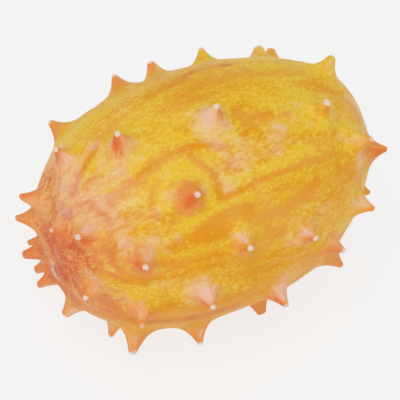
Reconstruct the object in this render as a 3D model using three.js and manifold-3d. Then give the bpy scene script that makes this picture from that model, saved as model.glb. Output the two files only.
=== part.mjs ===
// Horned melon (kiwano): one ripe fruit lying on its side, a barrel of thick rind studded with blunt horns.
// Millimetres, +Z up. +X runs along the fruit from the stalk scar to the blossom end, the surface it rests
// on is z = 0, and the origin is under the middle of the fruit.
import * as THREE from "three";
import { mergeVertices } from "three/addons/utils/BufferGeometryUtils.js";
import Module from "manifold-3d";

// Rind: a barrel whose radius is RADIUS * sqrt(1 - |share of the half length| ^ fullness).
const HALF_LENGTH = 57;
const RADIUS = 39;
const STALK_FULLNESS = 2.6;
const BLOSSOM_FULLNESS = 2.1;
// How far each end of the core line bends off straight, in Y and Z.
const STALK_BEND = { y: -1.4, z: -1.3 };
const BLOSSOM_BEND = { y: 5.0, z: 4.6 };
// The stalk end is pressed in along X: this deep at the pole, fading out where the rind reaches this radius.
const FLAT_END = { radius: 19, depth: 2.4 };
// Where the middle of the straight core line stands over the origin.
const CENTRE = new THREE.Vector3(-0.5, -0.4, 41.8);
const RIND_RINGS = 24;
const RIND_SIDES = 36;

// Horns: a concave cone that flares into the rind, with a round blunt tip.
const HORN_SPREAD = 11;
const HORN_FLARE = 4;
const HORN_HEIGHT_SHARES = [0.06, 0.22, 0.5, 0.82];
const HORN_TIP = { radius: 0.9, drop: 0.5 };
const HORN_ROOT = { share: 0.69, depth: 1.1 };
const HORN_SIDES = 7;

// The scar where the stalk broke off, a low corky disc.
const SCAR = { station: -56.5, bearing: 245, radius: 3.2, height: 0.5, depth: 2 };
const SCAR_SIDES = 16;

// Horn places: [station along the core line, bearing round it, length, lean along, lean round, tip radius,
// spread], where the last four may be left out.
// The bearing is in degrees from +Y, 90 is straight up; leans are degrees off square to the rind.
const HORNS = [
  // Ring at the stalk end.
  [-53, 59, 7.5, 5],
  [-55, 23, 7, 7, 3],
  [-44, 74, 6.5, 15, 5],
  [-53, 113, 5, 5],
  [-48, 131, 6.5, 0, -5],
  [-50, 175, 6, 0, -5],
  [-48, 266, 7, 0, 0, 1.4, 10],
  [-51, 291, 7.5, 0, 2, 1.2, 8],
  [-50, 304, 7, 0, 0, 1.3, 6.5],
  [-52, 317, 7.5, 0, 5, 1.4, 7.5],
  [-48, 323, 8, 0, 0, 0.9, 6],
  [-40, 348, 4.5],
  // Stalk shoulder.
  [-35, 28, 7],
  [-37, 154, 8, 10],
  [-39, 190, 6.5, 5, -5],
  [-38, 220, 8.5, -4, 0, 1.2],
  [-38, 253, 7.5, 0, 0, 0.9, 9.5],
  [-40, 281, 6.5],
  [-38, 307, 7],
  [-37, 333, 7.5],
  // Belly ring towards the stalk.
  [-15, 41, 6],
  [-31, 98, 8, 10, -5],
  [-20, 133, 8, 10],
  [-21, 182, 7.5, 0, -10],
  [-19, 223, 7],
  [-20, 317, 7.5],
  [-15, 340, 7],
  [-29, 352, 6.5],
  [-26, 10, 5.5],
  // Middle ring, with one worn-down stub underneath.
  [-1, 35, 6.5, 1, 0, 1.1],
  [-4, 104, 8, 5, 5],
  [-8, 160, 7, -5, -5],
  [3, 198, 7.5, 5],
  [7, 239, 7.5, 0, 0, 1.6],
  [-2, 270, 2.4],
  [-4, 299, 7],
  [2, 324, 7.5],
  [9, 350, 7.5],
  [-8, 6, 7],
  // Belly ring towards the blossom end.
  [15, 39, 6],
  [13, 169, 6, 0, -10],
  [22, 185, 7, 10, -10],
  [18, 311, 7.5],
  [24, 335, 7],
  [22, 8, 7],
  // Blossom shoulder.
  [34, 36, 6, 0, -5, 1.5],
  [31, 118, 7, -15, -10, 1.1],
  [40, 141, 7, 0, 5],
  [37, 180, 6.5, 0, -5],
  [29, 215, 6.5, 5],
  [38, 242, 7],
  [36, 270, 7],
  [36, 301, 6.5],
  [37, 338, 7],
  [39, 26.5, 7.8, 0, 0, 1.3],
  // Blossom end.
  [44, 86, 6.5, -5, 0, 1.3],
  [48, 160, 6.5],
  [49, 230, 7],
  [50, 258, 6],
  [48, 320, 6.5],
  [50, 350, 6.5],
  [56, 290, 5.5],
];
// The four horns that carry the fruit: [station, bearing]. Each is as long as it takes to reach the
// surface, and its tip is pressed flat there.
const RESTING_HORNS = [
  [-24, 257],
  [-26, 288],
  [20, 252],
  [20, 288],
];
const PRESSED = 0.8;

const wasm = await Module();
wasm.setup();

// A closed three.js geometry as a solid that can be joined and cut.
function solid(geometry) {
  const bare = geometry.index ? geometry.toNonIndexed() : geometry.clone();
  bare.deleteAttribute("normal");
  bare.deleteAttribute("uv");
  const merged = mergeVertices(bare, 1e-4);
  const vertProperties = merged.attributes.position.array;
  const triVerts = new Uint32Array(merged.index.array);
  return new wasm.Manifold(new wasm.Mesh({ numProp: 3, vertProperties, triVerts }));
}

// A solid as a three.js geometry again.
function geometryOf(made) {
  const mesh = made.getMesh();
  const geometry = new THREE.BufferGeometry();
  const positions = new THREE.BufferAttribute(mesh.vertProperties, mesh.numProp);
  geometry.setAttribute("position", positions);
  geometry.setIndex(new THREE.BufferAttribute(mesh.triVerts, 1));
  geometry.computeVertexNormals();
  return geometry;
}

// Radius of the rind at a share of the half length, from -1 at the stalk to 1 at the blossom end.
function rindRadius(share) {
  const fullness = share < 0 ? STALK_FULLNESS : BLOSSOM_FULLNESS;
  return RADIUS * Math.sqrt(Math.max(0, 1 - Math.abs(share) ** fullness));
}

// How far the flat stalk end is pressed in at a share of the half length.
function pressedIn(share) {
  const inside = share < 0 ? 1 - (rindRadius(share) / FLAT_END.radius) ** 2 : 0;
  return FLAT_END.depth * Math.max(0, inside) ** 2;
}

// The core line: straight along X, bending off towards both ends with the cube of the share.
function corePoint(share) {
  const stalk = Math.max(0, -share) ** 3;
  const blossom = Math.max(0, share) ** 3;
  return new THREE.Vector3(
    share * HALF_LENGTH,
    STALK_BEND.y * stalk + BLOSSOM_BEND.y * blossom,
    STALK_BEND.z * stalk + BLOSSOM_BEND.z * blossom,
  ).add(CENTRE);
}

// A point of the rind. The turn runs from 0 at the stalk pole to pi at the blossom pole.
function rindPoint(turn, bearing) {
  const share = -Math.cos(turn);
  const radius = rindRadius(share);
  const spoke = new THREE.Vector3(0, Math.cos(bearing), Math.sin(bearing));
  return corePoint(share).addScaledVector(spoke, radius);
}

// The rind's directions at a station and a bearing: outwards, along the fruit and round it.
function rindFrame(station, bearingDegrees) {
  const turn = Math.acos(-station / HALF_LENGTH);
  const bearing = THREE.MathUtils.degToRad(bearingDegrees);
  const step = 1e-4;
  const along = rindPoint(turn + step, bearing).sub(rindPoint(turn - step, bearing)).normalize();
  const turning = rindPoint(turn, bearing + step).sub(rindPoint(turn, bearing - step));
  const out = turning.cross(along).normalize();
  const round = new THREE.Vector3().crossVectors(along, out);
  const foot = rindPoint(turn, bearing);
  foot.x += pressedIn(station / HALF_LENGTH);
  return { foot, out, along, round };
}

// Barrel of rind: a lathed profile laid along X, each ring then moved onto the bent core line.
function rind() {
  const profile = [];
  for (let ring = 0; ring <= RIND_RINGS; ring += 1) {
    const share = -Math.cos((Math.PI * ring) / RIND_RINGS);
    profile.push(new THREE.Vector2(rindRadius(share), share * HALF_LENGTH));
  }
  const geometry = new THREE.LatheGeometry(profile, RIND_SIDES).rotateZ(-Math.PI / 2);
  const position = geometry.attributes.position;
  for (let i = 0; i < position.count; i += 1) {
    const share = position.getX(i) / HALF_LENGTH;
    const core = corePoint(share);
    position.setXYZ(i, core.x + pressedIn(share), position.getY(i) + core.y, position.getZ(i) + core.z);
  }
  return geometry;
}

// A lathed piece stood on the rind: its foot at the given point, its axis along the direction.
function standOn(geometry, foot, direction) {
  const up = new THREE.Vector3(0, 1, 0);
  const turn = new THREE.Quaternion().setFromUnitVectors(up, direction);
  return geometry.applyQuaternion(turn).translate(foot.x, foot.y, foot.z);
}

// One horn: a lathed flare from the buried root to the blunt tip.
function horn(length, tip, spread) {
  const profile = [
    new THREE.Vector2(0, -HORN_ROOT.depth * 2),
    new THREE.Vector2(HORN_ROOT.share * spread, -HORN_ROOT.depth),
  ];
  for (const share of HORN_HEIGHT_SHARES) {
    const flare = (spread - tip) * (1 - share ** (1 / HORN_FLARE));
    profile.push(new THREE.Vector2(tip + flare, share * length));
  }
  profile.push(new THREE.Vector2(tip, length - HORN_TIP.drop));
  profile.push(new THREE.Vector2(0, length));
  return new THREE.LatheGeometry(profile, HORN_SIDES);
}

function placedHorn(place) {
  const [station, bearing, length, leanAlong = 0, leanRound = 0] = place;
  const [tip = HORN_TIP.radius, spread = HORN_SPREAD] = place.slice(5);
  const { foot, out, along, round } = rindFrame(station, bearing);
  const direction = out.clone();
  direction.addScaledVector(along, Math.tan(THREE.MathUtils.degToRad(leanAlong)));
  direction.addScaledVector(round, Math.tan(THREE.MathUtils.degToRad(leanRound)));
  return standOn(horn(length, tip, spread), foot, direction.normalize());
}

function restingHorn([station, bearing]) {
  const { foot, out } = rindFrame(station, bearing);
  const length = (foot.z + PRESSED) / -out.z;
  return standOn(horn(length, HORN_TIP.radius, HORN_SPREAD), foot, out);
}

// The stalk scar: a low disc with a bevelled rim, sunk into the rind.
function stalkScar() {
  const profile = [
    new THREE.Vector2(0, -SCAR.depth),
    new THREE.Vector2(SCAR.radius, -SCAR.depth),
    new THREE.Vector2(SCAR.radius, SCAR.height * 0.4),
    new THREE.Vector2(SCAR.radius - SCAR.height, SCAR.height),
    new THREE.Vector2(0, SCAR.height),
  ];
  const { foot, out } = rindFrame(SCAR.station, SCAR.bearing);
  return standOn(new THREE.LatheGeometry(profile, SCAR_SIDES), foot, out);
}

let fruit = solid(rind()).add(solid(stalkScar()));
for (const place of HORNS) {
  fruit = fruit.add(solid(placedHorn(place)));
}
for (const place of RESTING_HORNS) {
  fruit = fruit.add(solid(restingHorn(place)));
}

// Everything under the surface is cut away, which leaves the flats on the resting horns.
const SLAB = 200;
const below = new THREE.BoxGeometry(SLAB, SLAB, SLAB).translate(0, 0, -SLAB / 2);
fruit = fruit.subtract(solid(below));

const skin = new THREE.MeshStandardMaterial({ color: 0xe39a35, roughness: 0.45, metalness: 0 });
const hornedMelon = new THREE.Mesh(geometryOf(fruit), skin);
hornedMelon.name = "horned_melon";

const part = new THREE.Group();
part.add(hornedMelon);
export default part;
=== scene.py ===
import math

import bpy
import numpy as np
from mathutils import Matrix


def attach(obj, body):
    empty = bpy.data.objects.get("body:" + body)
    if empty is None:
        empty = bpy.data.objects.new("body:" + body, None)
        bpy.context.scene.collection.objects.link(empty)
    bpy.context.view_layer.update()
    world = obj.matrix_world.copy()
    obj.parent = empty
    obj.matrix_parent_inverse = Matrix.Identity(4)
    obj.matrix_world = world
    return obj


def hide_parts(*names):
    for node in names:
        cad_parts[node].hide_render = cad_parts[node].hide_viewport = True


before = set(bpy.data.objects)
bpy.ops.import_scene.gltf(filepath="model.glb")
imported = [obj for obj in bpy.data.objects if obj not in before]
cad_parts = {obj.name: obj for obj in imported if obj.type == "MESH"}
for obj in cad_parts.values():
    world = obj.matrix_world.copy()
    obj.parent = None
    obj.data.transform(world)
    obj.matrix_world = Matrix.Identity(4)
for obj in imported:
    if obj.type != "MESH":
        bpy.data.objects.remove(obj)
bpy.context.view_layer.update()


# ---------------------------------------------------------------------------------------------------
# Camera. A long lens on a tall stand looks down on the fruit from its front left, so that the stalk
# end is turned a little towards it. It aims just below and left of the fruit's middle.
# ---------------------------------------------------------------------------------------------------
MM = 0.001
FRUIT_MIDDLE = np.array([-0.5, -0.4, 41.8])
CAMERA_AZIMUTH = math.radians(-28.3)
CAMERA_ELEVATION = math.radians(44)
CAMERA_DISTANCE = 450
CAMERA_LENS = 127.6
SENSOR_WIDTH = 36
AIM_RIGHT, AIM_UP = -2.35, -3.3


def camera_directions(azimuth, elevation):
    """Unit vectors to the camera, to the right of its picture and up its picture."""
    back = np.array([
        math.sin(azimuth) * math.cos(elevation),
        -math.cos(azimuth) * math.cos(elevation),
        math.sin(elevation),
    ])
    right = np.array([math.cos(azimuth), math.sin(azimuth), 0.0])
    return back, right, np.cross(back, right)


def look_along(thing, place, back, right, up):
    """Stands a camera or a lamp at a place, its own X to the right, Y up and Z to the back."""
    thing.rotation_mode = "QUATERNION"
    turned = np.stack([right, up, back], axis=1)
    thing.rotation_quaternion = Matrix(turned.tolist()).to_quaternion()
    thing.location = (place * MM).tolist()


camera_back, camera_right, camera_up = camera_directions(CAMERA_AZIMUTH, CAMERA_ELEVATION)
camera_lens = bpy.data.cameras.new("long_lens")
camera_lens.lens = CAMERA_LENS
camera_lens.sensor_width = SENSOR_WIDTH
camera = bpy.data.objects.new("long_lens", camera_lens)
bpy.context.scene.collection.objects.link(camera)
camera_aim = FRUIT_MIDDLE + AIM_RIGHT * camera_right + AIM_UP * camera_up
look_along(camera, camera_aim + CAMERA_DISTANCE * camera_back, camera_back, camera_right, camera_up)
bpy.context.scene.camera = camera
bpy.context.scene.view_settings.view_transform = "Standard"


# ---------------------------------------------------------------------------------------------------
# Rind. The whole fruit is one ripe horned melon, a barrel of thick waxy rind that grew as one piece.
# Its blossom end bends a little up and back, its stalk end still less down and forward. The skin is a
# closed net of rings from pole to pole, and its sizes are in millimetres until the mesh is made.
# ---------------------------------------------------------------------------------------------------
HALF_LENGTH = 57
RADIUS = 39
STALK_FULLNESS = 2.6
BLOSSOM_FULLNESS = 2.1
STALK_BEND = np.array([0.0, -1.4, -1.3])
BLOSSOM_BEND = np.array([0.0, 5.0, 4.6])
RINGS = 300
SIDES = 328


def core_line(share):
    """Point of the core line: straight along X, bending towards each end with the cube of the share."""
    stalk = np.maximum(0, -share)[..., None] ** 3
    blossom = np.maximum(0, share)[..., None] ** 3
    straight = share[..., None] * np.array([HALF_LENGTH, 0.0, 0.0])
    return FRUIT_MIDDLE + straight + STALK_BEND * stalk + BLOSSOM_BEND * blossom


def rind_radius_squared(share):
    """RADIUS squared times one less the share of the half length to the power of that end's fullness."""
    fullness = np.where(share < 0, STALK_FULLNESS, BLOSSOM_FULLNESS)
    return RADIUS**2 * (1 - np.abs(share) ** fullness)


def rind_point(turn, bearing):
    """Core line point plus a spoke at the bearing. The turn runs from 0 at the stalk to pi."""
    share = -np.cos(turn)
    spoke = np.stack([np.zeros_like(bearing), np.cos(bearing), np.sin(bearing)], axis=-1)
    reach = np.sqrt(np.maximum(0, rind_radius_squared(share)))
    return core_line(share) + reach[..., None] * spoke


def rind_miss(points):
    """Square of each point's distance from the core line, less the square of the rind's radius there."""
    share = (points[..., 0] - FRUIT_MIDDLE[0]) / HALF_LENGTH
    spoke = points - core_line(share)
    return (spoke**2).sum(axis=-1) - rind_radius_squared(share)


def onto_rind(points, out):
    """Slides points along one direction until they lie on the rind, by a few of Newton's steps."""
    step, tries = 0.01, 5
    for _ in range(tries):
        miss = rind_miss(points)
        slope = (rind_miss(points + step * out) - miss) / step
        points = points - (miss / slope)[..., None] * out
    return points


def rind_out(points):
    """Unit vector square to the rind: the slope of rind_miss along X, Y and Z."""
    step = 0.01
    slope = [rind_miss(points + step * axis) - rind_miss(points - step * axis) for axis in np.eye(3)]
    slope = np.stack(slope, axis=-1)
    return slope / np.linalg.norm(slope, axis=-1, keepdims=True)


def skin_net():
    """Places of the rings' points, with one point at each pole, before any horn is raised."""
    turn = np.pi * np.arange(1, RINGS) / RINGS
    bearing = 2 * np.pi * np.arange(SIDES) / SIDES
    turn, bearing = np.meshgrid(turn, bearing, indexing="ij")
    poles = core_line(np.array([-1.0, 1.0]))
    return np.concatenate([rind_point(turn, bearing).reshape(-1, 3), poles])


def skin_faces():
    """Squares between neighbouring rings, and a fan of triangles that closes each pole."""
    corner = np.arange((RINGS - 1) * SIDES).reshape(RINGS - 1, SIDES)
    beside = np.roll(corner, -1, axis=1)
    squares = np.stack([corner[:-1], corner[1:], beside[1:], beside[:-1]], axis=-1).reshape(-1, 4)
    stalk_pole = np.full(SIDES, corner.size)
    blossom_pole = np.full(SIDES, corner.size + 1)
    fans = np.concatenate([
        np.stack([stalk_pole, corner[0], beside[0]], axis=-1),
        np.stack([blossom_pole, beside[-1], corner[-1]], axis=-1),
    ])
    return squares, fans


# ---------------------------------------------------------------------------------------------------
# Horns. Soft blunt horns of the same rind stand all over the fruit, each a concave cone that flares
# into the skin. Those at the stalk end are slimmer and stand closer together, and four underneath
# carry the fruit.
# ---------------------------------------------------------------------------------------------------
HORN_FLARE = 4.3
USUAL_HORN = [0, 0, 0, 0, 0, 0.85, 11]
HORN_TIP_DROP = 0.6
# Rows: [station along the core line, bearing round it, length, lean along, lean round, tip radius,
# spread], where the last four may be left out. The bearing is in degrees from +Y, 90 is straight up,
# and leans are degrees off square.
STALK_HORNS = [
    [-53, 59, 7.5, 5, 0, 0.95],
    [-55, 23, 7, 7, 3, 0.95],
    [-44, 74, 6.5, 15, 5],
    [-53, 113, 5, 5, 0, 0.7],
    [-48, 131, 6.5, 0, -5],
    [-50, 175, 6, 0, -5],
    [-48, 266, 7, 0, 0, 1.4, 10],
    [-51, 291, 7.5, 0, 2, 1.2, 8],
    [-50, 304, 7, 0, 0, 1.3, 6.5],
    [-52, 317, 7.5, 0, 5, 1.4, 7.5],
    [-48, 323, 8, 0, 0, 0.85, 6],
    [-40, 348, 4.5],
]
STALK_SHOULDER_HORNS = [
    [-35, 28, 7],
    [-37, 154, 8, 10],
    [-39, 190, 6.5, 5, -5],
    [-38, 220, 8.5, -4, 0, 1.2],
    [-38, 253, 7.5, 0, 0, 0.85, 9.5],
    [-40, 281, 6.5],
    [-38, 307, 7],
    [-37, 333, 7.5],
]
STALK_BELLY_HORNS = [
    [-15, 41, 6],
    [-31, 98, 8, 10, -5],
    [-20, 133, 8, 10],
    [-21, 182, 7.5, 0, -10],
    [-19, 223, 7],
    [-20, 317, 7.5],
    [-15, 340, 7],
    [-29, 352, 6.5],
    [-26, 10, 5.5],
]
MIDDLE_HORNS = [
    [-1, 35, 6.5, 1, 0, 1.1],
    [-4, 104, 8, 5, 5],
    [-8, 160, 7, -5, -5],
    [3, 198, 7.5, 5],
    [7, 239, 7.5, 0, 0, 1.6],
    [-2, 270, 2.4],
    [-4, 299, 7],
    [2, 324, 7.5],
    [9, 350, 7.5],
    [-8, 6, 7],
]
BLOSSOM_BELLY_HORNS = [
    [15, 39, 6],
    [13, 169, 6, 0, -10],
    [22, 185, 7, 10, -10],
    [18, 311, 7.5],
    [24, 335, 7],
    [22, 8, 7],
]
BLOSSOM_SHOULDER_HORNS = [
    [34, 36, 6, 0, -5, 1.5],
    [31, 118, 7, -15, -10, 1.1],
    [40, 141, 7, 0, 5],
    [37, 180, 6.5, 0, -5],
    [29, 215, 6.5, 5],
    [38, 242, 7],
    [36, 270, 7],
    [36, 301, 6.5],
    [37, 338, 7],
    [39, 26.5, 7.8, 0, 0, 1.3],
]
BLOSSOM_HORNS = [
    [44, 86, 6.5, -5, 0, 1.3],
    [48, 160, 6.5],
    [49, 230, 7],
    [50, 258, 6],
    [48, 320, 6.5],
    [50, 350, 6.5],
    [56, 290, 5.5],
]
# The four horns that carry the fruit: [station, bearing]. Each reaches just past the surface that it
# rests on, and its tip is pressed flat there.
RESTING_HORNS = [[-24, 257], [-26, 288], [20, 252], [20, 288]]
PRESSED = 0.8
# Soft ridges run up each horn: how many, and the least and most share by which they change its radius.
RIDGES = [(2, (0.02, 0.08)), (3, (0.02, 0.07)), (5, (0.01, 0.05)), (8, (0.01, 0.03))]
# The power by which the heights of neighbouring horns blend, and the power of a horn's rise that
# makes up for the rind's fall away under it.
HORN_BLEND = 3
FOOT_FADE = 0.25
# The skin's points are drawn in towards each horn, so that its steep sides and its tip are smooth.
WIDEST_DRAW = 10
LOOSE_FIT = 0.5
SLOPE_STEPS = 600
TIP_CLOSENESS = 2.5
EVEN_CLOSENESS = 0.35
OUT_OF_REACH = 99


def rind_frame(station, bearing):
    """Foot of a horn and its unit vectors out of the rind, along the fruit and round it."""
    turn = np.arccos(-station / HALF_LENGTH)
    bearing = np.radians(bearing)
    step = 1e-4
    foot = rind_point(turn, bearing)
    along = rind_point(turn + step, bearing) - rind_point(turn - step, bearing)
    along = along / np.linalg.norm(along, axis=-1, keepdims=True)
    out = rind_out(foot)
    return foot, out, along, np.cross(along, out)


def all_horns():
    """Every horn's foot, directions, leaning axis, length, tip radius and spread, as arrays."""
    rows = (STALK_HORNS + STALK_SHOULDER_HORNS + STALK_BELLY_HORNS + MIDDLE_HORNS
            + BLOSSOM_BELLY_HORNS + BLOSSOM_SHOULDER_HORNS + BLOSSOM_HORNS)
    rows = np.array([row + USUAL_HORN[len(row):] for row in rows], float)
    resting = np.array(RESTING_HORNS, float)
    resting_foot, resting_out, _, _ = rind_frame(resting[:, 0], resting[:, 1])
    reach = (resting_foot[:, 2] + PRESSED) / -resting_out[:, 2]
    resting_rows = np.tile(np.array(USUAL_HORN, float), (len(reach), 1))
    resting_rows[:, :3] = np.stack([resting[:, 0], resting[:, 1], reach], axis=1)
    rows = np.concatenate([rows, resting_rows])
    foot, out, along, across = rind_frame(rows[:, 0], rows[:, 1])
    lean = np.tan(np.radians(rows[:, 3:5]))
    axis = out + lean[:, :1] * along + lean[:, 1:] * across
    axis = axis / np.linalg.norm(axis, axis=1, keepdims=True)
    return {
        "foot": foot, "out": out, "along": along, "round": across, "axis": axis,
        "length": rows[:, 2], "tip": rows[:, 5], "spread": rows[:, 6],
    }


def each_horn(horns, *names):
    """The named values of one horn after another."""
    return zip(*(horns[name] for name in names))


def horn_rise(radius, tip, spread):
    """Share of a horn's length reached at a radius from its axis: the inward share to a power."""
    inward = 1 - (radius - tip) / (spread - tip)
    return np.clip(inward, 0, 1) ** HORN_FLARE


def horn_height(radius, length, tip, spread):
    """Height over the foot: the concave cone, topped with a dome the height of the tip's drop."""
    dome = np.sqrt(np.maximum(0, 1 - (radius / tip) ** 2))
    return (length - HORN_TIP_DROP) * horn_rise(radius, tip, spread) + HORN_TIP_DROP * dome


def drawn_in_radii(length, tip, spread, zone):
    """Radii spaced evenly by length of slope, closer at the tip, for points spaced evenly in the zone."""
    radius = np.linspace(0, zone, SLOPE_STEPS)
    height = horn_height(radius, length, tip, spread)
    middle = (radius[1:] + radius[:-1]) / 2
    closeness = 1 + TIP_CLOSENESS * horn_rise(middle, tip, spread)
    slope = np.hypot(np.diff(radius), np.diff(height)) * closeness
    slope += EVEN_CLOSENESS * np.diff(radius)
    travelled = np.concatenate([[0], np.cumsum(slope)])
    return travelled / travelled[-1], radius


def draw_in(points, horns):
    """Moves the skin's points along the rind towards each horn's foot, in zones that don't overlap."""
    feet = horns["foot"]
    apart = np.linalg.norm(feet[:, None] - feet[None], axis=-1) + OUT_OF_REACH * np.eye(len(feet))
    zones = np.minimum(WIDEST_DRAW, LOOSE_FIT * apart.min(axis=1))
    rows = each_horn(horns, "foot", "out", "length", "tip", "spread")
    for (foot, out, length, tip, spread), zone in zip(rows, zones):
        offset = points - foot
        height = offset @ out
        flat = offset - height[:, None] * out
        distance = np.linalg.norm(flat, axis=1)
        near = np.flatnonzero((distance < zone) & (distance > 0) & (height > -zone))
        even, radii = drawn_in_radii(length, tip, spread, zone)
        drawn = np.interp(distance[near] / zone, even, radii)
        moved = foot + flat[near] * (drawn / distance[near])[:, None] + height[near, None] * out
        points[near] = onto_rind(moved, out)
    return points


def raise_horns(points, horns):
    """Lifts the skin along each horn's axis by its height. Where flares meet, their heights are
    blended as the root of the sum of their powers."""
    lift = np.zeros_like(points)
    total = np.zeros(len(points))
    rng = np.random.default_rng(5)
    rows = each_horn(horns, "foot", "out", "along", "round", "axis", "length", "tip", "spread")
    for foot, out, along, across, axis, length, tip, spread in rows:
        offset = points - foot
        sunk = offset @ out
        angle = np.arctan2(offset @ across, offset @ along)
        ridges = [(count, rng.uniform(*depths), rng.uniform(0, 2 * np.pi)) for count, depths in RIDGES]
        fluted = 1 + sum(depth * np.cos(count * angle + start) for count, depth, start in ridges)
        radius = np.linalg.norm(offset - sunk[:, None] * out, axis=1) * fluted
        rise = horn_rise(radius, tip, spread)
        height = horn_height(radius, length, tip, spread) - sunk * rise**FOOT_FADE
        height = np.where((sunk > -spread) & (rise > 0), np.maximum(height, 0), 0)
        lift += (height**HORN_BLEND)[:, None] * axis
        total += height**HORN_BLEND
    size = total ** (1 / HORN_BLEND)
    way = lift / np.maximum(np.linalg.norm(lift, axis=1), 1e-9)[:, None]
    return points + size[:, None] * way


# The stalk end: a corky scar with a raised broken rim where the stalk came away, and a low nub above
# it. The rim is broken by waves across the fruit: (axis, depth, radians a millimetre, start).
FLAT_END_RADIUS = 19
FLAT_END_DEPTH = 2.4
SCAR_PLACE = [-56.5, 245]
SCAR_RADIUS = 2.7
SCAR_RIM = 0.7
SCAR_RIM_WIDTH = 0.5
SCAR_RIM_EVENNESS = 0.55
SCAR_RIM_WAVES = [(1, 0.4, 0.6, 2.5), (2, 0.3, 0.9, -2.55)]
SCAR_DEPTH = 0.5
SCAR_DISH_RADIUS = 0.75 * SCAR_RADIUS
NUB_PLACE = [-56.0, 138]
NUB_RADIUS = 2.2
NUB_HEIGHT = 1.1


def distance_to_place(points, place):
    """Straight distance of each point from the rind at a station and a bearing."""
    station, bearing = np.array(place, float)
    return np.linalg.norm(points - rind_point(np.arccos(-station / HALF_LENGTH), np.radians(bearing)), axis=1)


def pressed_in(points):
    """How far the flat stalk end is pressed in along the fruit: a bowl over its own radius."""
    share = np.clip((points[:, 0] - FRUIT_MIDDLE[0]) / HALF_LENGTH, -1, 1)
    inside = 1 - rind_radius_squared(share) / FLAT_END_RADIUS**2
    return FLAT_END_DEPTH * np.maximum(0, np.where(share < 0, inside, 0)) ** 2


def scar_rim(points):
    """Share of the scar's rim: a bell curve of the distance from its circle, broken by waves."""
    waves = (depth * np.sin(pace * points[:, axis] + start)
             for axis, depth, pace, start in SCAR_RIM_WAVES)
    broken = sum(waves, SCAR_RIM_EVENNESS)
    off_circle = distance_to_place(points, SCAR_PLACE) - SCAR_RADIUS
    return np.maximum(0, broken) * np.exp(-((off_circle / SCAR_RIM_WIDTH) ** 2))


def stalk_relief(points):
    """Height of the scar's rim and dish and of the nub, each a bell curve of its own distance."""
    to_scar = distance_to_place(points, SCAR_PLACE)
    to_nub = distance_to_place(points, NUB_PLACE)
    rim = SCAR_RIM * scar_rim(points)
    dish = SCAR_DEPTH * np.exp(-((to_scar / SCAR_DISH_RADIUS) ** 4))
    return rim - dish + NUB_HEIGHT * np.exp(-((to_nub / NUB_RADIUS) ** 2))


horns = all_horns()
bare_rind = draw_in(skin_net(), horns)
skin_points = raise_horns(bare_rind, horns)
skin_points += stalk_relief(bare_rind)[:, None] * rind_out(bare_rind)
skin_points[:, 0] += pressed_in(bare_rind)
skin_points[:, 2] = np.maximum(skin_points[:, 2], 0)


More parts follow.
